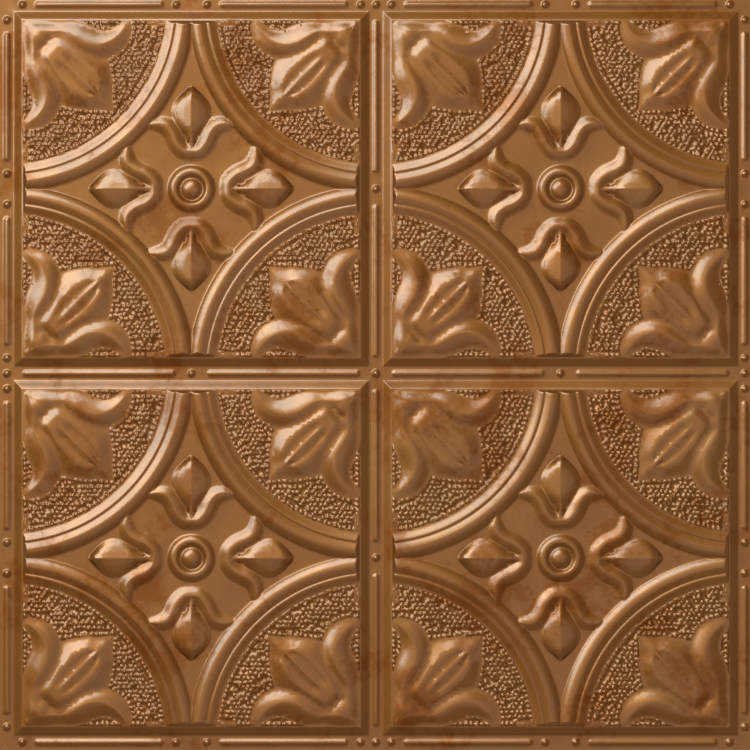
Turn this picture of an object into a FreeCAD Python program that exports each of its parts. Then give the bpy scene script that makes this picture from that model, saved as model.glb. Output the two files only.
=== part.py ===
import FreeCAD, Part
import os
import Sketcher

# Pressed tin ceiling tile: one stamped sheet with two by two pattern units, lying face up.
# The origin is the middle of the tile, z = 0 is the back of the nailing rails, +Z faces the room.
# A punch with the shape of the back is modelled first. The sheet is the skin over that punch.

SIZES = [
    # sheet and grid
    ("unit_size", 304.8, "repeat of the pattern, rail to rail"),
    ("edge_margin", 6.35, "sheet outside the centreline of the outer rails"),
    ("gauge", 0.3, "thickness of the sheet, measured upright"),
    # nailing rails with their ribs and beads
    ("rail_half", 5.6, "centreline of a rail to the foot of the panel's bevel"),
    ("rib_width", 6.4, "rib at its foot"),
    ("rib_crown", 2.6, "flat top of a rib"),
    ("rib_rise", 1.6, "rib above the rail"),
    ("bead_width", 6.4, "bead at its foot"),
    ("bead_rise", 1.6, "bead above the rail"),
    ("bead_offset", 12.7, "outer rails: node to each of its two beads"),
    ("outer_rib_gap", 22.6, "outer rails: node to the end of a rib"),
    ("cross_rib_gap", 12.7, "inner rails: node to the end of a rib"),
    # raised panel of a unit
    ("panel_rise", 3.2, "ground of the panel above the rails"),
    ("bevel_run", 7.0, "width of the bevel round the panel"),
    ("ring_end_run", 4.6, "width of the slope that ends a quarter ring at the border"),
    # quarter rings about the corners of a unit
    ("ring_rise", 2.7, "ring above the ground"),
    ("ring_ground_radius", 132.6, "edge of the stippled quarter disc"),
    ("ring_lip_radius", 136.8, "inner edge of the ring's crown"),
    ("ring_crown_radius", 149.0, "outer edge of the crown"),
    ("ring_foot_radius", 155.6, "foot of the long outer slope"),
    # button in the middle of a unit: a dome in a collar
    ("dome_radius", 8.6, "foot of the dome"),
    ("dome_rise", 2.7, "dome above the ground"),
    ("groove_rise", 0.3, "floor of the groove round the dome"),
    ("groove_radius", 9.8, "outer edge of that floor"),
    ("collar_crest_radius", 14.0, "crest of the collar"),
    ("collar_foot_radius", 19.8, "foot of the collar"),
    ("collar_rise", 2.2, "collar above the ground"),
    # bud of a fleur about the button, measured from the middle of the unit
    ("bud_root", 34.0, "throat between the leaves"),
    ("bud_widest", 63.6, "place of the widest section"),
    ("bud_tip", 83.4, "point"),
    ("bud_half_width", 15.3, "half of the widest section"),
    ("bud_rise", 3.1, "ridge at the widest section"),
    # pair of leaves below that bud, off the fleur's axis and up from the middle of the unit
    ("leaf_hip_out", 17.5, "lower bend of the outline"),
    ("leaf_hip_up", 31.0, "lower bend of the outline"),
    ("leaf_neck_out", 21.5, "hollow under the tip"),
    ("leaf_neck_up", 41.5, "hollow under the tip"),
    ("leaf_tip_out", 35.0, "tip"),
    ("leaf_tip_up", 49.5, "tip"),
    ("leaf_top_out", 23.0, "top of the outward bend"),
    ("leaf_top_up", 58.0, "top of the outward bend"),
    ("leaf_inner_out", 12.5, "edge beside the bud"),
    ("leaf_inner_up", 56.5, "edge beside the bud"),
    ("leaf_crest_out", 15.5, "crest"),
    ("leaf_crest_up", 45.0, "crest"),
    ("leaf_rise", 2.9, "crest above the ground"),
    # bend that joins the two leaves round the throat
    ("bend_foot", 26.0, "foot nearest to the button"),
    ("bend_crest", 31.5, "crest on the fleur's axis"),
    ("bend_half_width", 16.0, "half width"),
    ("bend_rise", 2.4, "crest above the ground"),
    # fleur in each corner of a unit, measured along the diagonal from the corner
    ("corner_root", 36.0, "root of the bud"),
    ("corner_widest", 91.6, "place of the side corners"),
    ("corner_tip", 121.6, "point"),
    ("corner_half_width", 24.4, "half width at the side corners"),
    ("corner_crest", 80.0, "highest place of the bud"),
    ("corner_rise", 2.5, "bud above the ground"),
    ("oval_root", 48.0, "raised oval on the bud, root"),
    ("oval_widest", 79.0, "oval, widest section"),
    ("oval_tip", 110.0, "oval, point"),
    ("oval_half_width", 12.0, "half of the oval's widest section"),
    ("oval_rise", 3.8, "oval above the ground"),
    # leaves of the corner fleur, along the border and off it, from the corner
    ("frond_root_along", 15.5, "root"),
    ("frond_root_off", 15.5, "root"),
    ("frond_hump_along", 29.0, "hump of the outer edge beside the root"),
    ("frond_hump_off", 14.6, "hump of the outer edge beside the root"),
    ("frond_dip_along", 42.0, "dip of the wavy outer edge"),
    ("frond_dip_off", 19.0, "dip of the wavy outer edge"),
    ("frond_bump_along", 58.0, "bump of the wavy outer edge"),
    ("frond_bump_off", 14.0, "bump of the wavy outer edge"),
    ("frond_brow_along", 76.0, "outer edge towards the tip"),
    ("frond_brow_off", 16.5, "outer edge towards the tip"),
    ("frond_tip_along", 96.0, "tip"),
    ("frond_tip_off", 19.0, "tip"),
    ("frond_heel_along", 92.0, "corner under the tip"),
    ("frond_heel_off", 38.0, "corner under the tip"),
    ("frond_belly_along", 78.0, "inner edge"),
    ("frond_belly_off", 44.5, "inner edge"),
    ("frond_waist_along", 54.0, "inner edge beside the bud"),
    ("frond_waist_off", 36.5, "inner edge beside the bud"),
    ("frond_neck_along", 37.0, "inner edge beside the root"),
    ("frond_neck_off", 31.0, "inner edge beside the root"),
    ("frond_stem_along", 34.0, "crest of the stem"),
    ("frond_stem_off", 23.0, "crest of the stem"),
    ("frond_stem_rise", 2.8, "stem above the ground"),
    ("frond_blade_along", 68.0, "crest of the blade"),
    ("frond_blade_off", 30.5, "crest of the blade"),
    ("frond_blade_rise", 3.4, "blade above the ground"),
]

doc = FreeCAD.newDocument("ceiling_tile")
sizes = doc.addObject("Spreadsheet::Sheet", "sizes")
for row, (alias, value, note) in enumerate(SIZES, start=1):
    sizes.set("A%d" % row, alias)
    sizes.set("B%d" % row, str(value))
    sizes.set("C%d" % row, note)
    sizes.setAlias("B%d" % row, alias)
doc.recompute()

HALF_UNIT = "sizes.unit_size / 2"
GROUND = "sizes.panel_rise"
PANEL_FOOT = "(sizes.unit_size / 2 - sizes.rail_half)"


def number(formula):
    return float(sizes.evalExpression(formula))


def origin_feature(body, role):
    return [f for f in body.Origin.OriginFeatures if f.Role == role][0]


def new_body(name):
    return doc.addObject("PartDesign::Body", name)


def new_sketch(body, name, role):
    sketch = body.newObject("Sketcher::SketchObject", name)
    sketch.AttachmentSupport = [(origin_feature(body, role), "")]
    sketch.MapMode = "FlatFace"
    return sketch


def set_distance(sketch, axis, vertex, formula):
    # place one coordinate of a vertex, written so that the distance stays positive
    value = number(formula)
    if abs(value) < 1e-9:
        line = -2 if axis == "DistanceX" else -1
        sketch.addConstraint(Sketcher.Constraint("PointOnObject", *vertex, line))
        return
    ends = (-1, 1, *vertex) if value > 0 else (*vertex, -1, 1)
    index = sketch.addConstraint(Sketcher.Constraint(axis, *ends, abs(value)))
    signed = formula if value > 0 else "-(%s)" % formula
    sketch.setExpression("Constraints[%d]" % index, signed)


def polygon(sketch, points):
    corners = [FreeCAD.Vector(number(x), number(y), 0) for x, y in points]
    count = len(corners)
    first = sketch.GeometryCount
    for i in range(count):
        sketch.addGeometry(Part.LineSegment(corners[i], corners[(i + 1) % count]))
    for i in range(count):
        following = first + (i + 1) % count
        sketch.addConstraint(Sketcher.Constraint("Coincident", first + i, 2, following, 1))
    for i, (x, y) in enumerate(points):
        set_distance(sketch, "DistanceX", (first + i, 1), x)
        set_distance(sketch, "DistanceY", (first + i, 1), y)


def rectangle(sketch, x_from, x_to, y_from, y_to):
    polygon(sketch, [(x_from, y_from), (x_to, y_from), (x_to, y_to), (x_from, y_to)])


def pad(body, name, sketch, length, downward=False):
    feature = body.newObject("PartDesign::Pad", name)
    feature.Profile = sketch
    feature.setExpression("Length", length)
    feature.Reversed = downward
    return feature


def revolution(body, name, sketch, angle):
    feature = body.newObject("PartDesign::Revolution", name)
    feature.Profile = sketch
    feature.ReferenceAxis = (sketch, ["V_Axis"])
    feature.Angle = angle
    return feature


def four_times(body, name, features):
    pattern = body.newObject("PartDesign::PolarPattern", name)
    pattern.Originals = features
    pattern.Axis = (origin_feature(body, "Z_Axis"), [""])
    pattern.Angle = 360
    pattern.Occurrences = 4
    body.Tip = pattern
    return pattern


# Raised forms: facets that rise from an outline to a crest


def level_sketch(body, name, level):
    sketch = new_sketch(body, name, "XY_Plane")
    sketch.setExpression("AttachmentOffset.Base.z", level)
    return sketch


def regular(x, y, reach, sides):
    turns = [360 / sides * i for i in range(sides)]
    return [("%s + %s * cos(%g)" % (x, reach, a), "%s + %s * sin(%g)" % (y, reach, a)) for a in turns]


def pyramid(body, name, kind, base, outline, tip_level, tip):
    # planes from an outline at one level to a tip at another
    foot = level_sketch(body, name + "_foot", base)
    polygon(foot, outline)
    apex = level_sketch(body, name + "_apex", tip_level)
    point = apex.addGeometry(Part.Point(FreeCAD.Vector(number(tip[0]), number(tip[1]), 0)))
    set_distance(apex, "DistanceX", (point, 1), tip[0])
    set_distance(apex, "DistanceY", (point, 1), tip[1])
    doc.recompute()
    loft = body.newObject(kind, name)
    loft.Profile = foot
    loft.Sections = [(apex, ["Vertex1"])]
    loft.Ruled = True
    return loft


def facets(body, name, level, crest, rise, outline):
    # the foot lies below its level, and spreads so that the given outline shows at that level
    sink = GROUND + " / 5"
    spread = "(1 + %s / (%s))" % (sink, rise)
    feet = []
    for corner in outline:
        feet.append(tuple("%s + (%s - (%s)) * %s" % (c, p, c, spread) for c, p in zip(crest, corner)))
    base = "%s - %s" % (level, sink)
    return pyramid(body, name, "PartDesign::AdditiveLoft", base, feet, "%s + %s" % (level, rise), crest)


def petal(body, name, crest, rise, outline):
    return facets(body, name, GROUND, crest, rise, outline)


def ogive(root, widest, tip, half):
    # pointed oval: its places along the axis with the half width there
    below = "(%s + %s) / 2" % (root, widest)
    one_side = [(below, half + " * 0.75"), (widest, half)]
    other_side = [(along, "-" + width) for along, width in reversed(one_side)]
    return [(root, "0")] + one_side + [(tip, "0")] + other_side


def fleur_bud(body):
    shape = ogive("sizes.bud_root", "sizes.bud_widest", "sizes.bud_tip", "sizes.bud_half_width")
    outline = [(width, along) for along, width in shape]
    return petal(body, "bud", ("0", "sizes.bud_widest"), "sizes.bud_rise", outline)


def fleur_leaf(body, name, side):
    def point(place):
        return ("%d * sizes.leaf_%s_out" % (side, place), "sizes.leaf_%s_up" % place)

    outline = [point(place) for place in ("hip", "neck", "tip", "top", "inner")]
    outline += [("0", "sizes.bud_root"), ("0", "sizes.bend_foot")]
    return petal(body, name, point("crest"), "sizes.leaf_rise", outline)


def fleur_bend(body):
    half = "sizes.bend_half_width"
    high = "2 * sizes.bend_crest - sizes.bend_foot"
    outline = [
        ("0", "sizes.bend_foot"),
        (half, "sizes.bend_crest"),
        ("0", high),
        ("-" + half, "sizes.bend_crest"),
    ]
    return petal(body, "bend", ("0", "sizes.bend_crest"), "sizes.bend_rise", outline)


def from_diagonal(along, across):
    # a place in the corner fleur, turned from its diagonal to the unit's own axes
    x = "((%s) - (%s)) * cos(45) - %s" % (along, across, HALF_UNIT)
    y = "((%s) + (%s)) * cos(45) - %s" % (along, across, HALF_UNIT)
    return (x, y)


def corner_bud(body):
    half = "sizes.corner_half_width"
    kite = [
        ("sizes.corner_root", "0"),
        ("sizes.corner_widest", half),
        ("sizes.corner_tip", "0"),
        ("sizes.corner_widest", "-" + half),
    ]
    outline = [from_diagonal(*place) for place in kite]
    return petal(body, "corner_bud", from_diagonal("sizes.corner_crest", "0"), "sizes.corner_rise", outline)


def corner_oval(body):
    shape = ogive("sizes.oval_root", "sizes.oval_widest", "sizes.oval_tip", "sizes.oval_half_width")
    outline = [from_diagonal(*place) for place in shape]
    return petal(body, "corner_oval", from_diagonal("sizes.oval_widest", "0"), "sizes.oval_rise", outline)


def corner_frond(body, name, mirrored):
    # stem and blade share most of the outline, each rises to a crest of its own
    def point(place):
        along = "sizes.frond_%s_along - %s" % (place, HALF_UNIT)
        off = "sizes.frond_%s_off - %s" % (place, HALF_UNIT)
        return (off, along) if mirrored else (along, off)

    stem = [point(place) for place in ("root", "hump", "dip", "tip", "waist", "neck")]
    blade = [point(place) for place in ("root", "dip", "bump", "brow", "tip", "heel", "belly", "waist")]
    return [
        petal(body, name + "_stem", point("stem"), "sizes.frond_stem_rise", stem),
        petal(body, name + "_blade", point("blade"), "sizes.frond_blade_rise", blade),
    ]


# Punch of one pattern unit


def quarter_ring(body):
    sketch = new_sketch(body, "ring_profile", "XZ_Plane")
    sketch.setExpression("AttachmentOffset.Base.x", "-" + HALF_UNIT)
    sketch.setExpression("AttachmentOffset.Base.z", HALF_UNIT)
    crown = "%s + sizes.ring_rise" % GROUND
    polygon(sketch, [
        ("sizes.ring_ground_radius", GROUND),
        ("sizes.ring_lip_radius", crown),
        ("sizes.ring_crown_radius", crown),
        ("sizes.ring_foot_radius", GROUND),
        ("sizes.ring_foot_radius", "0"),
        ("sizes.ring_ground_radius", "0"),
    ])
    return revolution(body, "quarter_ring", sketch, 90)


def button(body):
    sides = 12
    crest = "%s + sizes.collar_rise" % GROUND
    floor = "%s + sizes.groove_rise" % GROUND
    collar = regular("0", "0", "sizes.collar_foot_radius", sides)
    collar_run = "(sizes.collar_foot_radius - sizes.collar_crest_radius)"
    peak = "sizes.collar_rise * sizes.collar_foot_radius / %s" % collar_run
    facets(body, "collar", GROUND, ("0", "0"), peak, collar)

    above = level_sketch(body, "collar_crest", crest)
    polygon(above, collar)
    trim = body.newObject("PartDesign::Pocket", "collar_trim")
    trim.Profile = above
    trim.setExpression("Length", peak)
    trim.Reversed = True

    mouth = regular("0", "0", "sizes.collar_crest_radius", sides)
    depth = "(sizes.collar_rise - sizes.groove_rise) * sizes.collar_crest_radius"
    groove_run = "(sizes.collar_crest_radius - sizes.groove_radius)"
    bottom = "%s - %s / %s" % (crest, depth, groove_run)
    pyramid(body, "groove", "PartDesign::SubtractiveLoft", crest, mouth, bottom, ("0", "0"))
    base = level_sketch(body, "groove_floor", floor)
    polygon(base, regular("0", "0", "sizes.groove_radius", sides))
    pad(body, "groove_fill", base, "2 * " + GROUND, downward=True)
    rise = "sizes.dome_rise - sizes.groove_rise"
    facets(body, "dome", floor, ("0", "0"), rise, regular("0", "0", "sizes.dome_radius", sides))


def border_slopes(body):
    # everything outside the panel's bevel and above the slopes that end the rings
    sketch = new_sketch(body, "border_profile", "XZ_Plane")
    top = "%s + 2 * sizes.ring_rise" % GROUND
    outside = "-sizes.unit_size"
    polygon(sketch, [
        ("-" + PANEL_FOOT, "-" + GROUND),
        ("-" + PANEL_FOOT, "0"),
        ("sizes.bevel_run - " + PANEL_FOOT, GROUND),
        ("sizes.bevel_run + 2 * sizes.ring_end_run - " + PANEL_FOOT, top),
        (outside, top),
        (outside, "-" + GROUND),
    ])
    trim = body.newObject("PartDesign::Pocket", "border_slope")
    trim.Profile = sketch
    trim.Type = "ThroughAll"
    trim.Midplane = True
    return trim


def unit_punch():
    body = new_body("unit_punch")
    outline = new_sketch(body, "panel_outline", "XY_Plane")
    outline.setExpression("AttachmentOffset.Base.z", "-" + GROUND)
    rectangle(outline, "-" + PANEL_FOOT, PANEL_FOOT, "-" + PANEL_FOOT, PANEL_FOOT)
    pad(body, "panel", outline, "2 * " + GROUND)
    button(body)
    repeated = [
        quarter_ring(body),
        fleur_bud(body),
        fleur_leaf(body, "leaf", 1),
        fleur_leaf(body, "leaf_mirrored", -1),
        fleur_bend(body),
        corner_bud(body),
        corner_oval(body),
        *corner_frond(body, "frond", False),
        *corner_frond(body, "frond_mirrored", True),
    ]
    doc.recompute()
    four_times(body, "ornament", repeated)
    doc.recompute()
    before = body.Shape.Volume
    trim = border_slopes(body)
    doc.recompute()
    four_times(body, "borders", [trim])
    doc.recompute()
    assert body.Shape.Volume < before, "the border slopes cut nothing"
    return body


# Punch of the nailing rails


def rib(body, name, start, rail, gap):
    # low bar with sloping sides and ends, from one node of a rail to the next
    wedge = body.newObject("PartDesign::AdditiveWedge", name)
    wedge.AttachmentSupport = [(origin_feature(body, "XZ_Plane"), "")]
    wedge.MapMode = "FlatFace"
    slope = "(sizes.rib_width - sizes.rib_crown) / 2"
    begin = "%d * %s + %s" % (start, HALF_UNIT, gap)
    end = "%d * %s - %s" % (start + 1, HALF_UNIT, gap)
    near = "-(%s) - sizes.rib_width / 2" % rail
    far = "-(%s) + sizes.rib_width / 2" % rail
    for extent, value in (
        ("Xmin", begin), ("X2min", "%s + %s" % (begin, slope)),
        ("Xmax", end), ("X2max", "%s - %s" % (end, slope)),
        ("Ymin", "0"), ("Ymax", "sizes.rib_rise"),
        ("Zmin", near), ("Z2min", "%s + %s" % (near, slope)),
        ("Zmax", far), ("Z2max", "%s - %s" % (far, slope)),
    ):
        wedge.setExpression(extent, value)
    return wedge


def bead(body, name, x, y):
    # six-sided button round a nailing place
    outline = regular(x, y, "sizes.bead_width / 2", 6)
    return facets(body, name, "0", (x, y), "sizes.bead_rise", outline)


def rail_punch():
    body = new_body("rail_punch")
    outline = new_sketch(body, "rail_outline", "XY_Plane")
    edge = "(sizes.unit_size + sizes.edge_margin)"
    rectangle(outline, "-" + edge, edge, "-" + edge, edge)
    near = "sizes.rail_half"
    far = "(sizes.unit_size - sizes.rail_half)"
    for x_from, x_to in ((near, far), ("-" + far, "-" + near)):
        for y_from, y_to in ((near, far), ("-" + far, "-" + near)):
            rectangle(outline, x_from, x_to, y_from, y_to)
    pad(body, "rails", outline, GROUND, downward=True)

    outer = "-sizes.unit_size"
    ornament = []
    for cell in (-2, -1, 0, 1):
        start = "%d * %s + sizes.bead_offset" % (cell, HALF_UNIT)
        end = "%d * %s - sizes.bead_offset" % (cell + 1, HALF_UNIT)
        ornament.append(rib(body, "outer_rib", cell, outer, "sizes.outer_rib_gap"))
        ornament.append(bead(body, "first_bead", start, outer))
        ornament.append(bead(body, "second_bead", end, outer))
    for cell in (0, 1):
        ornament.append(rib(body, "cross_rib", cell, "0", "sizes.cross_rib_gap"))
    ornament.append(bead(body, "cross_bead", HALF_UNIT, "0"))
    doc.recompute()
    four_times(body, "rail_ornament", ornament)
    body.Tip = bead(body, "middle_bead", "0", "0")
    doc.recompute()
    return body


# Sheet over the punches


def skin(name, punch):
    raised = doc.addObject("App::Link", name + "_raised")
    raised.LinkedObject = punch
    raised.setExpression("Placement.Base.z", "sizes.gauge")
    sheet = doc.addObject("Part::Cut", name)
    sheet.Base = raised
    sheet.Tool = punch
    return sheet


def ceiling_tile():
    unit = skin("unit_sheet", unit_punch())
    pieces = [skin("rail_sheet", rail_punch())]
    for column in (-1, 1):
        for row in (-1, 1):
            copy = doc.addObject("App::Link", "unit_copy")
            copy.LinkedObject = unit
            copy.setExpression("Placement.Base.x", "%d * %s" % (column, HALF_UNIT))
            copy.setExpression("Placement.Base.y", "%d * %s" % (row, HALF_UNIT))
            pieces.append(copy)
    tile = doc.addObject("Part::MultiFuse", "tile")
    tile.Label = "ceiling_tile"
    tile.Shapes = pieces
    tile.Refine = True
    return tile


def check(objects, part):
    for item in objects:
        bad = {"Invalid", "Error"} & set(item.State)
        assert not bad, "%s is %s" % (item.Label, item.State)
    shape = part.Shape
    assert not shape.isNull() and shape.isValid(), "%s has no valid shape" % part.Label
    assert len(shape.Solids) == 1, "%s is not one solid" % part.Label


tile = ceiling_tile()
doc.recompute()
check(doc.Objects, tile)
os.makedirs("parts", exist_ok=True)
tile.Shape.exportStep("parts/%s.step" % tile.Label)
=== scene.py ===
import math

import bpy
import numpy as np
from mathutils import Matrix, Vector
from mathutils.geometry import delaunay_2d_cdt


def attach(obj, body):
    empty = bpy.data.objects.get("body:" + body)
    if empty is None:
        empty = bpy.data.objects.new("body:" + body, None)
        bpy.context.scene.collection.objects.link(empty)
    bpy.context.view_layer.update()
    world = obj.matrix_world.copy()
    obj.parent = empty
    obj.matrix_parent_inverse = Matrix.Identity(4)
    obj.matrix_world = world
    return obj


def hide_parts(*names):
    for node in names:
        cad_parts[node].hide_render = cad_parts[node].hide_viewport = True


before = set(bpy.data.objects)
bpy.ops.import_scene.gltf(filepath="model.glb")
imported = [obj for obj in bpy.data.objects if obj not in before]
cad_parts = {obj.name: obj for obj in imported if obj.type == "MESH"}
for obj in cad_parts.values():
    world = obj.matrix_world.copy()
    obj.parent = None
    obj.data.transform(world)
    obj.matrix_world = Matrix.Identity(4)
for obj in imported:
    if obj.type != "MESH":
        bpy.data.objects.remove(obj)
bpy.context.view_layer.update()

# Pressed tin ceiling tile, face up. The relief is worked out in millimetres and placed in metres.


print("frame loaded")


# Sizes of the tile

tile = {
    "unit": 304.8,
    "margin": 6.35,
    "gauge": 0.3,
    "ground": 3.2,
    "bevel": (5.6, 12.6),
    "bevelBlur": 0.35,
    "ringEnd": (13.8, 16.8),
    "ringTop": 2.9,
    "nodeStep": 152.4,
    "ribHalf": 3.2,
    "ribRise": 1.15,
    "beadHalf": 3.3,
    "beadRise": 1.5,
    "beadOffset": 12.7,
    "outerRibGap": 22.6,
    "crossRibGap": 12.7,
    "foot": 0.2,
    "backGap": 0.25,
}
half = tile["unit"] / 2
edge = tile["unit"] + tile["margin"]

# radius from a corner of the unit, height above the ground
ringProfile = [
    (120.0, -4.0), (132.6, 0.0), (135.6, 0.9), (138.6, 1.8), (139.5, 1.9), (140.2, 1.45), (140.8, 1.35),
    (141.4, 1.6), (143.6, 2.2), (145.8, 2.75), (147.2, 2.85), (149.2, 2.6), (151.4, 2.0), (153.6, 1.15),
    (155.6, 0.0), (168.0, -7.0),
]
# radius from the middle of the unit, height above the ground
buttonProfile = [
    (0.0, 2.8), (2.0, 2.7), (4.0, 2.4), (6.0, 1.75), (7.6, 1.0), (8.6, 0.35), (9.4, 0.3), (10.4, 0.7),
    (11.6, 1.6), (12.8, 2.1), (14.0, 2.25), (15.4, 2.1), (17.0, 1.55), (18.6, 0.7), (19.8, 0.0),
    (32.0, -7.0),
]
# across, along, half width towards the button and towards the bud, rise
leafPath = [
    (-6.0, 31.8, 8.6, 8.0, 2.4), (0.0, 31.0, 8.2, 7.6, 2.3), (6.0, 31.8, 8.6, 8.0, 2.4),
    (11.6, 37.6, 9.0, 9.0, 2.6), (15.6, 46.4, 9.2, 9.6, 2.7), (20.0, 51.8, 9.2, 8.2, 2.5),
    (26.5, 53.8, 8.6, 6.8, 2.1), (32.5, 53.4, 6.0, 4.8, 1.5), (36.0, 52.4, 2.6, 2.2, 0.7),
]
leafPowers = (1.5, 1.25)
# along the border, off it, half width towards the border and away from it, rise
frondPath = [
    (18.0, 18.0, 4.0, 4.5, 1.2), (24.0, 21.0, 7.5, 7.0, 1.9), (31.0, 22.6, 9.2, 8.5, 2.3),
    (39.0, 22.8, 8.0, 9.5, 2.0), (45.0, 22.6, 7.0, 11.0, 1.7), (51.0, 24.0, 10.5, 12.0, 2.4),
    (57.5, 27.6, 14.5, 13.0, 3.2), (66.0, 32.2, 16.0, 13.0, 3.5), (76.0, 33.6, 14.5, 12.0, 3.2),
    (85.0, 30.8, 11.0, 12.0, 2.6), (91.5, 26.0, 7.5, 11.0, 1.8), (96.0, 20.8, 5.0, 7.0, 1.0),
    (98.0, 17.6, 3.5, 4.0, 0.5),
]
frondPowers = (1.3, 1.4)
# along the bud from the middle of the unit, half width
budOutline = [
    (30.0, 2.4), (36.0, 2.6), (40.0, 3.6), (45.0, 6.4), (50.0, 10.4), (54.0, 13.2), (58.0, 15.2),
    (63.5, 16.2), (67.0, 16.0), (71.5, 14.0), (76.0, 10.4), (79.7, 6.4), (82.0, 3.6), (84.0, 1.4),
    (92.0, 1.2),
]
# share of the bud's half width, height above the ground
budProfile = [
    (0.0, 3.8), (0.1, 3.55), (0.35, 2.95), (0.6, 2.1), (0.8, 1.3), (0.92, 0.75), (1.0, 0.0), (1.6, -6.0),
]
medallionBud = {
    "root": 30.0, "rootSlope": 0.35, "tip": 84.5, "tipSlope": 0.6, "fullWidth": 12.0, "thinning": 0.4,
}
budGroove = {"place": 0.84, "half": 0.04, "depth": 0.3, "start": 57.0, "run": 6.0}
cornerBud = {
    "root": 44.0, "side": (92.0, 25.0), "tip": 123.5, "rise": 2.6, "inSlope": 0.23, "outSlope": 0.24,
}
cornerOval = {
    "root": 43.0, "widest": 84.0, "tip": 106.0, "half": 11.5, "rise": 3.1, "fall": 0.25,
    "scoop": 1.0, "scoopStart": 60.0, "scoopRuns": (8.0, 5.0), "tipRise": 1.4, "endSlope": 0.3,
    "edgeRise": 0.6, "edgeSlope": 1.5, "leastWidth": 4.0,
}
# share of the oval's half width, share of the scoop's depth
scoopProfile = [(0.0, 0.0), (0.14, 0.1), (0.42, 1.0), (1.0, 0.0), (1.6, 0.0)]
cornerBoss = {"place": 37.5, "radius": 11.0, "rise": 2.8}


# Blends and profiles

def softRamp(t, start, end, rise, blur):
    bends = np.logaddexp(0, (t - start) / blur) - np.logaddexp(0, (t - end) / blur)
    return rise / (end - start) * blur * bends


def softMax(blur, *fields):
    top = fields[0]
    for field in fields[1:]:
        top = blur * np.logaddexp(top / blur, field / blur)
    return top


def softMin(blur, *fields):
    return -softMax(blur, *[-field for field in fields])


def smoothTable(points, blur, step=0.1):
    place, height = np.array(points).T
    reach = int(4 * blur / step)
    weight = np.exp(-0.5 * (np.arange(-reach, reach + 1) * step / blur) ** 2)
    fine = np.arange(place[0], place[-1], step)
    padded = np.pad(np.interp(fine, place, height), reach, "reflect", reflect_type="odd")
    return fine, np.convolve(padded, weight / weight.sum(), "valid")


def smoothPath(rows, steps):
    # curve through the rows, with the widths and rises carried along
    rows = np.array(rows)
    ends = np.vstack([2 * rows[0] - rows[1], rows, 2 * rows[-1] - rows[-2]])
    curve = []
    for a, b, c, d in zip(ends[:-3], ends[1:-2], ends[2:-1], ends[3:]):
        for t in np.arange(steps) / steps:
            curve.append(0.5 * (2 * b + (c - a) * t + (2 * a - 5 * b + 4 * c - d) * t ** 2
                                + (3 * b - a - 3 * c + d) * t ** 3))
    return np.array(curve + [rows[-1]])


def ridge(x, y, path, powers):
    # rounded ridge along a path, with the nearest lengths of it weighing most
    total, height = np.zeros(x.shape), np.zeros(x.shape)
    for a, b in zip(path[:-1], path[1:]):
        dx, dy = b[:2] - a[:2]
        t = np.clip(((x - a[0]) * dx + (y - a[1]) * dy) / (dx * dx + dy * dy), 0, 1)
        offset = np.hypot(x - a[0] - t * dx, y - a[1] - t * dy)
        onRight = (x - a[0]) * dy - (y - a[1]) * dx > 0
        width = np.where(onRight, a[2] + t * (b[2] - a[2]), a[3] + t * (b[3] - a[3]))
        share = (offset / width) ** np.where(onRight, *powers)
        weight = (offset + 0.6) ** -8
        total += weight
        height += weight * (a[4] + t * (b[4] - a[4])) * (1 - share)
    return np.maximum(height / total, -9)


def ovalWidth(along):
    # half width of the corner oval, slender at the root and round at the tip
    root, widest, tip = [cornerOval[name] for name in ("root", "widest", "tip")]
    below = np.clip((along - root) / (widest - root), 0, 1)
    above = np.clip((along - widest) / (tip - widest), 0, 1)
    share = np.where(above > 0, (1 - above ** 2.2) ** 0.5, (1 - (1 - below) ** 1.6) ** 0.7)
    return np.maximum(cornerOval["half"] * share, cornerOval["leastWidth"])


ringTable = smoothTable(ringProfile, 0.45)
buttonTable = smoothTable(buttonProfile, 0.4)
budTable = smoothTable(budProfile, 0.02, 0.005)
budWidth = smoothTable(budOutline, 1.0)
scoopTable = smoothTable(scoopProfile, 0.04, 0.01)
leafCurve = smoothPath(leafPath, 4)
frondCurve = smoothPath(frondPath, 4)


# Fields of the ornament: height above the ground, negative outside

def fleurParts(x, y):
    # x across a fleur of the medallion, y along it from the middle of the unit
    width = np.interp(y, *budWidth)
    cut = np.exp(-((x / width - budGroove["place"]) / budGroove["half"]) ** 2)
    cut *= budGroove["depth"] * np.clip((y - budGroove["start"]) / budGroove["run"], 0, 1)
    bud = medallionBud
    thinning = np.minimum(width / bud["fullWidth"], 1) ** bud["thinning"]
    body = (np.interp(x / width, *budTable) - cut) * thinning
    petal = softMin(0.4, body, (bud["tip"] - y) * bud["tipSlope"], (y - bud["root"]) * bud["rootSlope"])
    return petal, ridge(x, y, leafCurve, leafPowers)


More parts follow.
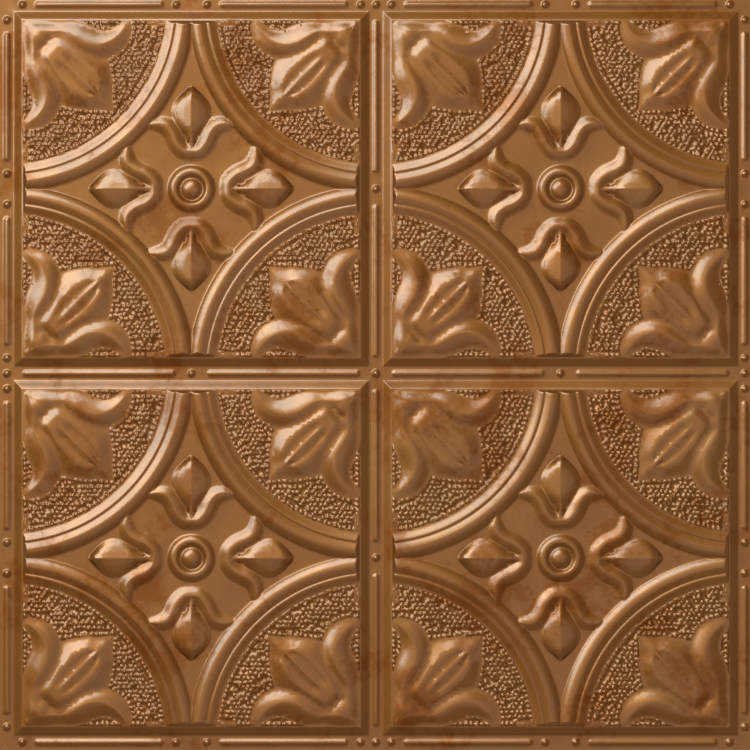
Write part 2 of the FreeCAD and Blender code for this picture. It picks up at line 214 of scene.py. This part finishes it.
def cornerParts(p, q):
    along, off = np.maximum(p, q), np.minimum(p, q)
    d = (along + off) / math.sqrt(2)
    e = (along - off) / math.sqrt(2)
    kite = cornerBud
    sideAlong, sideOff = kite["side"]
    inLength = math.hypot(sideAlong - kite["root"], sideOff)
    outLength = math.hypot(kite["tip"] - sideAlong, sideOff)
    inner = ((d - kite["root"]) * sideOff - e * (sideAlong - kite["root"])) / inLength * kite["inSlope"]
    outer = ((kite["tip"] - d) * sideOff - e * (kite["tip"] - sideAlong)) / outLength * kite["outSlope"]
    oval = cornerOval
    width = ovalWidth(d)
    runIn, runOut = oval["scoopRuns"]
    opening = np.clip((d - oval["scoopStart"]) / runIn, 0, 1) * np.clip((oval["tip"] - d) / runOut, 0, 1)
    scoop = oval["scoop"] * opening * np.interp(e / width, *scoopTable)
    wings = softMin(0.3, inner, outer, np.full(d.shape, kite["rise"])) - scoop
    body = oval["rise"] - oval["fall"] * np.maximum(e - width, 0)
    tipEnd = oval["tipRise"] + (oval["tip"] - d) * oval["endSlope"]
    rootEnd = (d - oval["root"]) * oval["endSlope"]
    edgeEnd = oval["edgeRise"] + oval["edgeSlope"] * outer
    finger = softMin(0.4, body, tipEnd, rootEnd, edgeEnd) - scoop
    away = np.hypot(d - cornerBoss["place"], e) / cornerBoss["radius"]
    boss = cornerBoss["rise"] * (1 - np.minimum(away, 2) ** 2)
    return wings, softMax(0.3, finger, boss), ridge(along, off, frondCurve, frondPowers)


def fleurField(x, y):
    return softMax(0.3, *fleurParts(x, y))


def cornerField(p, q):
    return softMax(0.45, *cornerParts(p, q))


def buttonField(x, y):
    return np.interp(np.hypot(x, y), *buttonTable)


def fold(x, y):
    # distances from the nearest rail centrelines, negative in the outer margin
    return half - np.abs(np.abs(x) - half), half - np.abs(np.abs(y) - half)


def ringField(p, q):
    start, end = tile["ringEnd"]
    slope = (np.minimum(p, q) - start) * tile["ringTop"] / (end - start)
    return softMin(0.2, np.interp(np.hypot(p, q), *ringTable), slope)


def railField(across, along):
    # one rail: its distance across, and the place along it from the middle of the tile
    off = np.abs(half - np.abs(np.abs(across) - half))
    outer = np.abs(across) > half
    step = tile["nodeStep"]
    node = np.abs((np.abs(along) + step / 2) % step - step / 2)
    gap = np.where(outer, tile["outerRibGap"], tile["crossRibGap"]) + tile["ribHalf"]
    rib = np.hypot(off, np.maximum(gap - node, 0)) / tile["ribHalf"]
    bead = np.hypot(off, node - np.where(outer, tile["beadOffset"], 0)) / tile["beadHalf"]
    ribTop = tile["ribRise"] * (1 - np.minimum(rib, 3) ** 1.3)
    beadTop = tile["beadRise"] * (1 - np.minimum(bead, 3) ** 1.6)
    return np.maximum(ribTop, beadTop)


def relief(x, y):
    p, q = fold(x, y)
    a, b = half - p, half - q
    fleur = fleurField(np.minimum(a, b), np.maximum(a, b))
    ground = np.zeros(x.shape)
    top = softMax(tile["foot"], ground, ringField(p, q), cornerField(p, q), fleur, buttonField(a, b))
    rails = softMax(tile["foot"], ground, railField(x, y), railField(y, x))
    start, end = tile["bevel"]
    return softRamp(np.minimum(p, q), start, end, tile["ground"], tile["bevelBlur"]) + top + rails


def slopes(x, y, step=0.08):
    dx = (relief(x + step, y) - relief(x - step, y)) / (2 * step)
    dy = (relief(x, y + step) - relief(x, y - step)) / (2 * step)
    return dx, dy


# Lines and points of one quarter of the tile

stipple = {
    "pitch": 4.1, "apart": 3.3, "jitter": 0.6, "radius": 1.65, "rise": 0.6, "sides": 5, "seed": 11,
    "ringRow": 130.2, "borderRow": 15.0, "fleurRow": 0.7, "rowStep": 4.3, "rowJitter": 0.3,
    "reach": 130.7, "margin": 14.4, "clear": 0.45, "foot": -0.05, "steep": 1.55,
}
density = {"fleur": 2.2, "corner": 2.75, "flat": 13.0, "arc": 6.0, "contour": 2.0}

bevelLines = (5.0, 5.6, 6.4, 9.1, 11.8, 12.6, 13.3)
ringEndLines = (13.9, 14.8, 15.8, 16.7, 17.5)
ringRadii = (131.8, 132.8, 133.8, 136.0, 138.4, 139.4, 140.1, 140.8, 141.5, 142.6, 145.4, 147.2, 149.2,
             151.2, 153.2, 154.8, 156.0, 157.4)
buttonRadii = (2, 4, 6, 7.6, 8.6, 9.6, 10.6, 11.8, 13, 14, 15.4, 17, 18.6, 19.8, 21, 22.4)


def hexGrid(width, height, pitch):
    rows = np.arange(0, height + pitch, pitch * math.sqrt(0.75))
    cols = np.arange(0, width + pitch, pitch)
    x, y = np.meshgrid(cols, rows)
    x = x + (np.arange(len(rows)) % 2)[:, None] * pitch / 2
    return np.column_stack([x.ravel(), y.ravel()])


def resample(line, step):
    length = np.concatenate([[0], np.cumsum(np.linalg.norm(np.diff(line, axis=0), axis=1))])
    spots = np.linspace(0, length[-1], max(2, int(round(length[-1] / step)) + 1))
    return np.column_stack([np.interp(spots, length, line[:, 0]), np.interp(spots, length, line[:, 1])])


def contours(field, low, high, spacing, step=0.5):
    # lines along which a field is zero, places where it is not a number are left out
    x, y = np.meshgrid(np.arange(low[0], high[0], step), np.arange(low[1], high[1], step), indexing="ij")
    level = field(x, y)
    sign = (level > 0).astype(int)
    total = sign[:-1, :-1] + sign[1:, :-1] + sign[1:, 1:] + sign[:-1, 1:]
    known = np.isfinite(level)
    known = known[:-1, :-1] & known[1:, :-1] & known[1:, 1:] & known[:-1, 1:]
    spots, links = {}, {}
    for i, j in np.argwhere((total > 0) & (total < 4) & known).tolist():
        corners = [(i, j), (i + 1, j), (i + 1, j + 1), (i, j + 1)]
        hits = []
        for a, b in zip(corners, corners[1:] + corners[:1]):
            if sign[a] != sign[b]:
                key = (min(a, b), max(a, b))
                t = level[a] / (level[a] - level[b])
                spots[key] = (x[a] + t * (x[b] - x[a]), y[a] + t * (y[b] - y[a]))
                hits.append(key)
        for a, b in zip(hits[::2], hits[1::2]):
            links.setdefault(a, []).append(b)
            links.setdefault(b, []).append(a)
    lines = []
    for key in sorted(links, key=lambda k: len(links[k])):
        chain = [key]
        while links[chain[-1]]:
            following = links[chain[-1]].pop()
            links[following].remove(chain[-1])
            chain.append(following)
        if len(chain) > 3:
            lines.append(resample(np.array([spots[k] for k in chain]), spacing))
    return lines


def arc(radius, start, end, step):
    angle = np.linspace(start, end, max(2, int(round(radius * abs(end - start) / step)) + 1))
    return radius * np.column_stack([np.cos(angle), np.sin(angle)])


def straight(start, end, step):
    return resample(np.array([start, end], dtype=float), step)


def alongside(path, away):
    run = np.gradient(path[:, :2], axis=0)
    run /= np.linalg.norm(run, axis=1)[:, None]
    return path[:, :2] + away * np.column_stack([run[:, 1], -run[:, 0]])


def swapped(lines):
    return lines + [line[:, ::-1] for line in lines]


def quarterLines(coarse):
    # places by their distances from the two rail centrelines
    spacing = density["contour"] * coarse
    lines = [np.array([(t, t) for t in bevelLines])]
    if coarse == 1:
        # keeps the mitre crisp
        lines += swapped([np.array([(t + 0.6, t) for t in bevelLines])])
    lines += swapped([straight((t, t), (half, t), 14) for t in bevelLines])
    lines += swapped([straight((116, t), (half, t), 3) for t in ringEndLines])
    for radius in ringRadii[::coarse]:
        start = math.asin(bevelLines[-1] / radius)
        if radius > half:
            start = max(start, math.acos(half / radius))
        lines.append(arc(radius, start, math.pi / 2 - start, density["arc"] * coarse))
    for radius in buttonRadii[::coarse]:
        lines.append(half - arc(radius, 0, math.pi / 2, 2.2 * coarse))

    def besideLeaf(x, y):
        petal, leaf = fleurParts(x, y)
        return np.where((petal > 0) & (leaf > 0), petal - leaf, np.nan)

    def skirt(field, away):
        # line round a foot, at a distance from it
        def level(x, y):
            steps = field(x + 0.05, y) - field(x - 0.05, y), field(x, y + 0.05) - field(x, y - 0.05)
            return field(x, y) / np.maximum(np.hypot(*steps) / 0.1, 0.05) + away
        return level

    fleur = contours(fleurField, (0, 22), (40, 90), spacing)
    fleur += contours(besideLeaf, (0, 22), (40, 90), spacing)
    fleur += contours(skirt(fleurField, 0.9), (0, 21), (42, 90), 1.5 * spacing)
    arm = leafCurve[leafCurve[:, 0] >= 0]
    fleur += [straight((0, 24), (0, 88), 2 * coarse)]
    fleur += [alongside(arm, away) for away in ((-0.9, 0, 0.9) if coarse == 1 else (0,))]
    for share in (0.06, 0.77, 0.84, 0.91):
        up = np.arange(46, 82.5, 2.0 * coarse)
        side = np.column_stack([share * np.interp(up, *budWidth), up])
        petal, leaf = fleurParts(*side.T)
        fleur.append(side[petal > leaf])
    lines += [half - line for line in swapped(fleur)]

    def between(first, second, shift):
        def field(p, q):
            parts = cornerParts(p, q)
            a, b = parts[first], parts[second]
            top = np.maximum(a, b)
            return np.where((top > 0.1) & (top >= np.maximum.reduce(parts) - 0.01), a - b + shift, np.nan)
        return field

    corner = contours(cornerField, (8, 8), (110, 110), spacing)
    corner += contours(skirt(cornerField, 0.9), (8, 8), (110, 110), 1.5 * spacing)
    creases = [(0, 1, 0), (0, 2, 0), (1, 2, 0)] + ([(0, 1, 0.35), (0, 1, -0.35)] if coarse == 1 else [])
    for first, second, shift in creases:
        corner += contours(between(first, second, shift), (8, 8), (110, 110), spacing)
    slant = 1 / math.sqrt(2)
    corner.append(straight((20, 20), (88, 88), 2.6))
    down = np.arange(52, 107, 2.6 * coarse)
    for share in (0.14, 0.42, 0.7, 1.0)[::coarse]:
        side = share * ovalWidth(down)
        corner += swapped([np.column_stack([down + side, down - side]) * slant])
    corner += swapped([alongside(frondCurve, away) for away in ((-0.9, 0, 0.9) if coarse == 1 else (0,))])
    return lines + corner


def quarterFill(coarse):
    fleurStep, cornerStep = density["fleur"] * coarse, density["corner"] * coarse
    fill = hexGrid(40, 70, fleurStep) + [0, 22]
    fill = fill[(fleurField(*fill.T) > 0.05) & (np.hypot(*fill.T) > 21)]
    fleur = half - np.vstack([fill, fill[:, ::-1]])
    corner = hexGrid(104, 104, cornerStep) + [10, 10]
    corner = corner[cornerField(*corner.T) > 0.05]
    return [(fleurStep * 0.6, fleur), (cornerStep * 0.6, corner)]


def stippleCentres(rng):
    # rows along the ring, the border and the corner fleur first, then the field between them
    def beside(p, q):
        return cornerField(p, q) + stipple["fleurRow"]

    step, border, shift = stipple["rowStep"], stipple["borderRow"], stipple["rowJitter"]
    rows = [arc(stipple["ringRow"], 0.1, math.pi / 2 - 0.1, step)]
    rows += swapped([straight((16, border), (130, border), step)])
    rows += contours(beside, (8, 8), (112, 112), step)
    field = hexGrid(140, 140, stipple["pitch"]) + rng.uniform(0, stipple["pitch"], 2)
    field = field + rng.uniform(-1, 1, field.shape) * stipple["jitter"]
    rows = np.vstack(rows)
    spots = np.vstack([rows + rng.uniform(-shift, shift, rows.shape), field])
    p, q = spots.T
    inside = (np.hypot(p, q) < stipple["reach"]) & (np.minimum(p, q) > stipple["margin"])
    spots = spots[inside & (cornerField(p, q) < -stipple["clear"])]
    kept = spots[:1]
    for spot in spots[1:]:
        if np.hypot(*(kept - spot).T).min() > stipple["apart"]:
            kept = np.vstack([kept, spot])
    return kept


def stipplePoints(rng):
    # each bump is its top and a ring of points at its foot
    centres = stippleCentres(rng)
    count, sides = len(centres), stipple["sides"]
    radius = stipple["radius"] * rng.uniform(0.88, 1.1, count)
    rise = stipple["rise"] * rng.uniform(0.75, 1.2, count)
    turn = rng.uniform(0, 2 * math.pi, count)
    rows = [np.column_stack([centres, rise, np.zeros((count, 2))])]
    for side in range(sides):
        angle = turn + 2 * math.pi * side / sides
        away = np.column_stack([np.cos(angle), np.sin(angle)])
        slope = away * (-stipple["steep"] * rise / radius)[:, None]
        foot = np.full(count, stipple["foot"])
        rows.append(np.column_stack([centres + away * radius[:, None], foot, slope]))
    return np.vstack(rows)


def railLines(coarse):
    # ribs and beads of the rails that run along y, outlines from the crown to the foot
    shares = (0.35, 0.65, 0.88, 1.04, 1.35)[::coarse]
    lines = []
    for place, gap, beads in ((0, tile["crossRibGap"], (0,)),
                              (2 * half, tile["outerRibGap"], (-tile["beadOffset"], tile["beadOffset"]))):
        sides = (1,) if place == 0 else (1, -1)
        for node in (0, half):
            start = node + gap + tile["ribHalf"]
            end = node + half - gap - tile["ribHalf"]
            lines.append(straight((place, start), (place, end), 12))
            for radius in [share * tile["ribHalf"] for share in shares]:
                turn = arc(radius, -math.pi / 2, 0, 1.6)
                outline = np.vstack([turn + [0, start], straight((radius, start), (radius, end), 12)[1:-1],
                                     turn[::-1] * [1, -1] + [0, end]])
                lines += [outline * [side, 1] + [place, 0] for side in sides]
        for bead in [node + shift for node in (0, half, 2 * half) for shift in beads]:
            lines.append(np.array([[place, bead]]))
            for radius in [share * tile["beadHalf"] for share in shares]:
                ring = arc(radius, -math.pi / 2, math.pi / 2, 1.5) + [0, bead]
                lines += [ring * [side, 1] + [place, 0] for side in sides]
    return lines


class Network:
    # points kept apart from each other, and the lines that join them

    def __init__(self):
        self.points, self.links, self.cells = [], set(), {}

    def add(self, rows, space, linked):
        cell = 1.5
        reach = int(space // cell) + 1
        span = range(-reach, reach + 1)
        before = None
        for row in rows.tolist():
            x, y = row[:2]
            i, j = int(x // cell), int(y // cell)
            near = [k for a in span for b in span for k in self.cells.get((i + a, j + b), ())]
            away = [(x - self.points[k][0]) ** 2 + (y - self.points[k][1]) ** 2 for k in near]
            if near and min(away) < space ** 2:
                index = near[away.index(min(away))]
            else:
                index = len(self.points)
                self.points.append(row + [0] * (5 - len(row)))
                self.cells.setdefault((i, j), []).append(index)
            if linked and before is not None and before != index:
                self.links.add((min(before, index), max(before, index)))
            before = index

    def triangles(self):
        flat = [Vector(point[:2]) for point in self.points]
        spots, _, faces, origins, _, _ = delaunay_2d_cdt(flat, sorted(self.links), [], 0, 1e-5)
        rows = [self.points[origin[0]] if origin else [*spot, 0, 0, 0]
                for spot, origin in zip(spots, origins)]
        return np.array(rows), np.array(faces)


def inQuarter(line):
    # points almost on the middle lines or the sheet's edge are placed on them, those outside are left out
    line = np.where(np.abs(line) < 0.3, 0, np.where(np.abs(line - edge) < 0.3, edge, line))
    return line[((line >= 0) & (line <= edge)).all(axis=1)]


def quarterTile(stippled, coarse):
    # the unit is four quarter units, each with bumps of its own
    rng = np.random.default_rng(stipple["seed"])
    net = Network()
    corners = [(0, 0), (0, 1), (1, 0), (1, 1)]

    def placed(points, i, j):
        return np.column_stack([np.abs(i * 2 * half - points[:, 0]), np.abs(j * 2 * half - points[:, 1])])

    for line in swapped([straight((0, edge), (edge, edge), 8)]):
        net.add(line, 0.05, True)
    for line in swapped(railLines(coarse)):
        net.add(inQuarter(line), 0.4, True)
    for line in swapped([straight((0, 0), (edge, 0), 8)]):
        net.add(line, 2.5, False)
    for line in quarterLines(coarse):
        for i, j in corners:
            net.add(placed(line, i, j), 0.35 * coarse, True)
    if stippled:
        for i, j in corners:
            rows = stipplePoints(rng)
            turned = rows[:, 3:] * [1 - 2 * i, 1 - 2 * j]
            net.add(np.column_stack([placed(rows[:, :2], i, j), rows[:, 2], turned]), 0.6, False)
    for space, points in quarterFill(coarse):
        for i, j in corners:
            net.add(placed(points, i, j), space, False)
    net.add(inQuarter(hexGrid(edge, edge, density["flat"])), density["flat"] * 0.6, False)
    return net.triangles()


# Whole tile from its quarters

# height, turns along and across, start
waves = [
    (0.10, 0.021, 0.013, 0.4), (0.08, -0.017, 0.026, 2.1), (0.045, 0.047, 0.035, 4.0),
    (0.04, -0.052, 0.041, 1.2), (0.02, 0.088, -0.101, 3.3),
]
# reaches at which a place is compared with those round it, and the depths that count as full hollows,
# which get full painted shade
shade = {"reaches": (0.8, 1.8), "depth": 0.4, "footDepth": 0.1}


def waviness(x, y):
    # slight unevenness of thin sheet, with its slopes
    height, dx, dy = np.zeros(x.shape), np.zeros(x.shape), np.zeros(x.shape)
    for size, fx, fy, phase in waves:
        wave = fx * x + fy * y + phase
        height += size * np.sin(wave)
        dx += size * fx * np.cos(wave)
        dy += size * fy * np.cos(wave)
    return height, dx, dy


def mirrorQuarters(places, normals, hollow, faces):
    x, y, z = places.T
    allPlaces, allNormals, allFaces = [], [], []
    for i, (sx, sy) in enumerate(((1, 1), (-1, 1), (-1, -1), (1, -1))):
        allPlaces.append(np.column_stack([sx * x, sy * y, z]))
        allNormals.append(normals * [sx, sy, 1])
        allFaces.append((faces if sx * sy > 0 else faces[:, ::-1]) + i * len(x))
    places, normals, faces = np.vstack(allPlaces), np.vstack(allNormals), np.vstack(allFaces)
    keys = np.round(places[:, :2] * 1000).astype(np.int64)
    _, first, index = np.unique(keys, axis=0, return_index=True, return_inverse=True)
    return places[first], normals[first], np.tile(hollow, 4)[first], index.ravel()[faces]


def sheetSide(stippled, coarse):
    points, faces = quarterTile(stippled, coarse)
    x, y = points[:, 0], points[:, 1]
    dx, dy = slopes(x, y)
    dx, dy = dx + points[:, 3], dy + points[:, 4]
    dx, dy = np.where(x == 0, 0, dx), np.where(y == 0, 0, dy)
    normals = np.column_stack([-dx, -dy, np.ones(x.shape)])
    height = relief(x, y) + points[:, 2]
    turns = np.arange(8) * math.pi / 4
    reaches = [(reach * math.cos(t), reach * math.sin(t)) for reach in shade["reaches"] for t in turns]
    around = [relief(x + a, y + b) for a, b in reaches]
    # painted shade: places lower than those round them get a darker copper colour and less coat
    hollow = np.clip((np.mean(around, axis=0) - height) / shade["depth"], 0, 1)
    if not stippled:
        # lowest place nearby, so that the coarser back stays below the front
        height = np.minimum(height, np.minimum.reduce(around))
    # painted shade in the gaps between stipple bumps, where their feet sink
    hollow = np.maximum(hollow, points[:, 2] / -shade["footDepth"])
    return mirrorQuarters(np.column_stack([x, y, height]), normals, hollow, faces)


def buildTile():
    front, frontNormals, frontPaintedShade, frontFaces = sheetSide(True, 1)
    back, backNormals, backPaintedShade, backFaces = sheetSide(False, 3)
    backFaces = backFaces[:, ::-1]
    for places, normals in ((front, frontNormals), (back, backNormals)):
        height, dx, dy = waviness(places[:, 0], places[:, 1])
        fade = np.clip(places[:, 2] / tile["ground"], 0, 1)
        places[:, 2] += height * fade
        normals[:, 0] -= dx * fade
        normals[:, 1] -= dy * fade
    front[:, 2] += tile["gauge"]
    back[:, 2] = np.maximum(0, back[:, 2] - tile["backGap"] * np.clip(back[:, 2], 0, 1))
    places = np.vstack([front, back])
    faces = np.vstack([frontFaces, backFaces + len(front)])
    normals = np.vstack([frontNormals, -backNormals])

    # rim round the edge of the sheet
    def rimOrder(side):
        onRim = np.flatnonzero(np.isclose(np.abs(side[:, :2]).max(axis=1), edge))
        x, y = side[onRim, 0], side[onRim, 1]
        turn = np.arctan2(y, x)
        return onRim[np.argsort(turn)]

    upper, lower = rimOrder(front), rimOrder(back) + len(front)
    assert len(upper) == len(lower), "the rims differ"
    following = np.roll(upper, -1), np.roll(lower, -1)
    rim = np.vstack([np.column_stack([upper, lower, following[1]]),
                     np.column_stack([upper, following[1], following[0]])])
    middle = (places[rim[:, 0], :2] + places[rim[:, 1], :2] + places[rim[:, 2], :2]) / 3
    onX = np.abs(middle[:, 0]) > np.abs(middle[:, 1])
    outward = np.zeros((len(rim), 3))
    outward[onX, 0] = np.sign(middle[onX, 0])
    outward[~onX, 1] = np.sign(middle[~onX, 1])

    normals /= np.linalg.norm(normals, axis=1)[:, None]
    loops = np.vstack([normals[faces].reshape(-1, 3), np.repeat(outward, 3, axis=0)])
    allFaces = np.vstack([faces, rim])
    mesh = bpy.data.meshes.new("ceilingTile")
    mesh.from_pydata((places / 1000).tolist(), [], allFaces.tolist())
    mesh.polygons.foreach_set("use_smooth", np.ones(len(allFaces), dtype=bool))
    isBack = np.zeros(len(allFaces), dtype=np.int32)
    isBack[len(frontFaces):len(faces)] = 1
    mesh.polygons.foreach_set("material_index", isBack)
    mesh.normals_split_custom_set(loops.tolist())
    # painted shade amounts, which the copper material reads
    hollow = mesh.attributes.new("hollow", "FLOAT", "POINT")
    hollow.data.foreach_set("value", np.append(frontPaintedShade, backPaintedShade))
    mesh.update()
    piece = bpy.data.objects.new("ceilingTile", mesh)
    bpy.context.scene.collection.objects.link(piece)
    print("tile:", len(frontFaces), "front,", len(backFaces), "back,", len(rim), "rim triangles")
    return piece


# Materials

copper = {
    "base": (0.38, 0.133, 0.016),
    "red": (0.29, 0.078, 0.009),
    "pale": (0.43, 0.19, 0.042),
    # colour of the painted shade in hollows and between bumps
    "hollow": (0.17, 0.05, 0.008),
    "rough": 0.45,
    "coatRough": 0.2,
    "coatIndex": 1.82,
    "redShare": 0.6,
    "paleShare": 0.5,
    "hollowShare": 0.48,
    "hollowCoat": -0.5,
    "redCoat": 0.5,
}
tin = {"base": (0.5, 0.47, 0.43), "dull": (0.36, 0.33, 0.29), "rust": (0.22, 0.1, 0.04), "rough": 0.38}


def newMaterial(name):
    material = bpy.data.materials.new(name)
    material.use_nodes = True
    return material, material.node_tree.nodes["Principled BSDF"]


def newGroup(name, inputs, outputs):
    group = bpy.data.node_groups.new(name, "ShaderNodeTree")
    for label, value in inputs:
        socket = group.interface.new_socket(label, in_out="INPUT", socket_type="NodeSocketFloat")
        socket.default_value = value
    for label in outputs:
        group.interface.new_socket(label, in_out="OUTPUT", socket_type="NodeSocketFloat")
    return group, group.nodes.new("NodeGroupInput"), group.nodes.new("NodeGroupOutput")


def addNode(tree, kind, links, **values):
    # node with its properties set, and its inputs linked or given a number
    node = tree.nodes.new(kind)
    for label, value in values.items():
        setattr(node, label, value)
    for label, value in links.items():
        if isinstance(value, bpy.types.NodeSocket):
            tree.links.new(value, node.inputs[label])
        else:
            node.inputs[label].default_value = value
    return node


def noise(tree, scale, detail, rough):
    spot = addNode(tree, "ShaderNodeTexCoord", {}).outputs["Object"]
    links = {"Vector": spot, "Scale": scale, "Detail": detail, "Roughness": rough}
    return addNode(tree, "ShaderNodeTexNoise", links)


def stretched(tree, value, low, high, start, end):
    links = {"Value": value, "From Min": low, "From Max": high, "To Min": start, "To Max": end}
    return addNode(tree, "ShaderNodeMapRange", links, interpolation_type="SMOOTHSTEP").outputs["Result"]


def mixed(tree, share, first, second):
    node = tree.nodes.new("ShaderNodeMix")
    node.data_type = "RGBA"
    tree.links.new(share, node.inputs["Factor"])
    for socket, colour in ((node.inputs[6], first), (node.inputs[7], second)):
        if isinstance(colour, bpy.types.NodeSocket):
            tree.links.new(colour, socket)
        else:
            socket.default_value = (*colour, 1)
    return node.outputs[2]


def scaled(tree, value, factor):
    return addNode(tree, "ShaderNodeMath", {0: value, 1: factor}, operation="MULTIPLY").outputs[0]


def blotchGroup():
    # irregular patches: large clouds broken up by small ones
    group, given, result = newGroup("blotches", [("Scale", 10), ("Low", 0.5), ("High", 0.62)], ["Mask"])
    cloud = noise(group, given.outputs["Scale"], 5, 0.62).outputs["Fac"]
    speck = noise(group, 170, 3, 0.6).outputs["Fac"]
    links = {0: speck, 1: 0.35, 2: cloud}
    both = addNode(group, "ShaderNodeMath", links, operation="MULTIPLY_ADD").outputs[0]
    shifted = addNode(group, "ShaderNodeMath", {0: both, 1: 0.175}, operation="SUBTRACT").outputs[0]
    mask = stretched(group, shifted, given.outputs["Low"], given.outputs["High"], 0, 1)
    group.links.new(mask, result.inputs["Mask"])
    return group


def grainGroup():
    # fine unevenness of pressed sheet, for bump and roughness
    group, given, result = newGroup("sheetGrain", [("Scale", 900)], ["Height", "Smear"])
    fine = noise(group, given.outputs["Scale"], 2, 0.5).outputs["Fac"]
    group.links.new(fine, result.inputs["Height"])
    smear = noise(group, 26, 4, 0.6).outputs["Fac"]
    group.links.new(smear, result.inputs["Smear"])
    return group


def grouped(tree, group, **values):
    node = tree.nodes.new("ShaderNodeGroup")
    node.node_tree = group
    for label, value in values.items():
        node.inputs[label].default_value = value
    return node.outputs


def bumped(tree, shader, height, strength, distance):
    bump = addNode(tree, "ShaderNodeBump", {"Height": height, "Strength": strength, "Distance": distance})
    tree.links.new(bump.outputs["Normal"], shader.inputs["Normal"])


blotches, sheetGrain = blotchGroup(), grainGroup()


def copperMaterial():
    material, shader = newMaterial("copperLacquer")
    tree = material.node_tree
    red = grouped(tree, blotches, Scale=14, Low=0.5, High=0.66)["Mask"]
    pale = grouped(tree, blotches, Scale=5, Low=0.5, High=0.7)["Mask"]
    grain = grouped(tree, sheetGrain, Scale=1100)
    # painted shade: darker colour and less coat where the mesh marks hollows
    hollow = addNode(tree, "ShaderNodeAttribute", {}, attribute_name="hollow").outputs["Fac"]
    colour = mixed(tree, scaled(tree, pale, copper["paleShare"]), copper["base"], copper["pale"])
    colour = mixed(tree, scaled(tree, red, copper["redShare"]), colour, copper["red"])
    colour = mixed(tree, scaled(tree, hollow, copper["hollowShare"]), colour, copper["hollow"])
    tree.links.new(colour, shader.inputs["Base Color"])
    rough = stretched(tree, grain["Smear"], 0.3, 0.7, copper["rough"] - 0.05, copper["rough"] + 0.08)
    tree.links.new(rough, shader.inputs["Roughness"])
    links = {0: hollow, 1: copper["hollowCoat"], 2: 1.0}
    gloss = addNode(tree, "ShaderNodeMath", links, operation="MULTIPLY_ADD").outputs[0]
    gloss = scaled(tree, gloss, stretched(tree, red, 0, 1, 1, copper["redCoat"]))
    tree.links.new(gloss, shader.inputs["Coat Weight"])
    bumped(tree, shader, grain["Height"], 0.16, 0.0002)
    shader.inputs["Metallic"].default_value = 1
    shader.inputs["Coat Roughness"].default_value = copper["coatRough"]
    shader.inputs["Coat IOR"].default_value = copper["coatIndex"]
    return material


def tinMaterial():
    material, shader = newMaterial("tinPlate")
    tree = material.node_tree
    dull = grouped(tree, blotches, Scale=22, Low=0.42, High=0.62)["Mask"]
    rust = grouped(tree, blotches, Scale=40, Low=0.66, High=0.74)["Mask"]
    grain = grouped(tree, sheetGrain, Scale=700)
    colour = mixed(tree, dull, tin["base"], tin["dull"])
    colour = mixed(tree, rust, colour, tin["rust"])
    tree.links.new(colour, shader.inputs["Base Color"])
    rough = stretched(tree, grain["Smear"], 0.3, 0.7, tin["rough"] - 0.06, tin["rough"] + 0.12)
    tree.links.new(rough, shader.inputs["Roughness"])
    tree.links.new(stretched(tree, rust, 0, 1, 1, 0.2), shader.inputs["Metallic"])
    bumped(tree, shader, grain["Height"], 0.1, 0.0002)
    return material


piece = buildTile()
piece.data.materials.append(copperMaterial())
piece.data.materials.append(tinMaterial())
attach(piece, "root")
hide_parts("ceiling_tile")


# Floor, light and camera

studio = {
    "floor": (0.8, 0.79, 0.77),
    "floorDrop": 0.0003,
    "world": 0.27,
    "worldColour": (1, 0.78, 0.47),
    "cameraHeight": 3.2,
    "cameraShift": (-0.0008, -0.0013),
    "frameWidth": 0.6198,
}
softboxes = {
    "keyLight": {
        "spot": (-1.26, 1.5, 3.02), "size": (3.2, 1.4), "radiance": 4.4, "colour": (0.87, 1, 0.97),
    },
    "overheadLight": {
        "spot": (0.2, -0.2, 2.5), "size": (2.2, 2.2), "radiance": 0.3, "colour": (1, 0.95, 0.84),
    },
}


def addFloor():
    mesh = bpy.data.meshes.new("floor")
    mesh.from_pydata([(-4, -4, 0), (4, -4, 0), (4, 4, 0), (-4, 4, 0)], [], [(0, 1, 2, 3)])
    floor = bpy.data.objects.new("floor", mesh)
    floor.location.z = -studio["floorDrop"]
    bpy.context.scene.collection.objects.link(floor)
    material, shader = newMaterial("paleFloor")
    shader.inputs["Base Color"].default_value = (*studio["floor"], 1)
    shader.inputs["Roughness"].default_value = 0.9
    mesh.materials.append(material)


def addSoftbox(name, spot, size, radiance, colour):
    light = bpy.data.lights.new(name, "AREA")
    light.color = colour
    light.shape = "RECTANGLE"
    light.size, light.size_y = size
    light.energy = radiance * math.pi * size[0] * size[1]
    box = bpy.data.objects.new(name, light)
    box.location = spot
    box.rotation_euler = (-Vector(spot)).to_track_quat("-Z", "Y").to_euler()
    bpy.context.scene.collection.objects.link(box)


def addCamera():
    camera = bpy.data.cameras.new("camera")
    camera.sensor_width = 36
    height = studio["cameraHeight"]
    camera.lens = camera.sensor_width * height / studio["frameWidth"]
    holder = bpy.data.objects.new("camera", camera)
    holder.location = (*studio["cameraShift"], height)
    bpy.context.scene.collection.objects.link(holder)
    bpy.context.scene.camera = holder


addFloor()
for label, sizes in softboxes.items():
    addSoftbox(label, **sizes)
world = bpy.data.worlds.new("studio")
world.use_nodes = True
world.node_tree.nodes["Background"].inputs["Color"].default_value = (*studio["worldColour"], 1)
world.node_tree.nodes["Background"].inputs["Strength"].default_value = studio["world"]
bpy.context.scene.world = world
addCamera()
bpy.context.scene.view_settings.view_transform = "Standard"
print("stage ready")
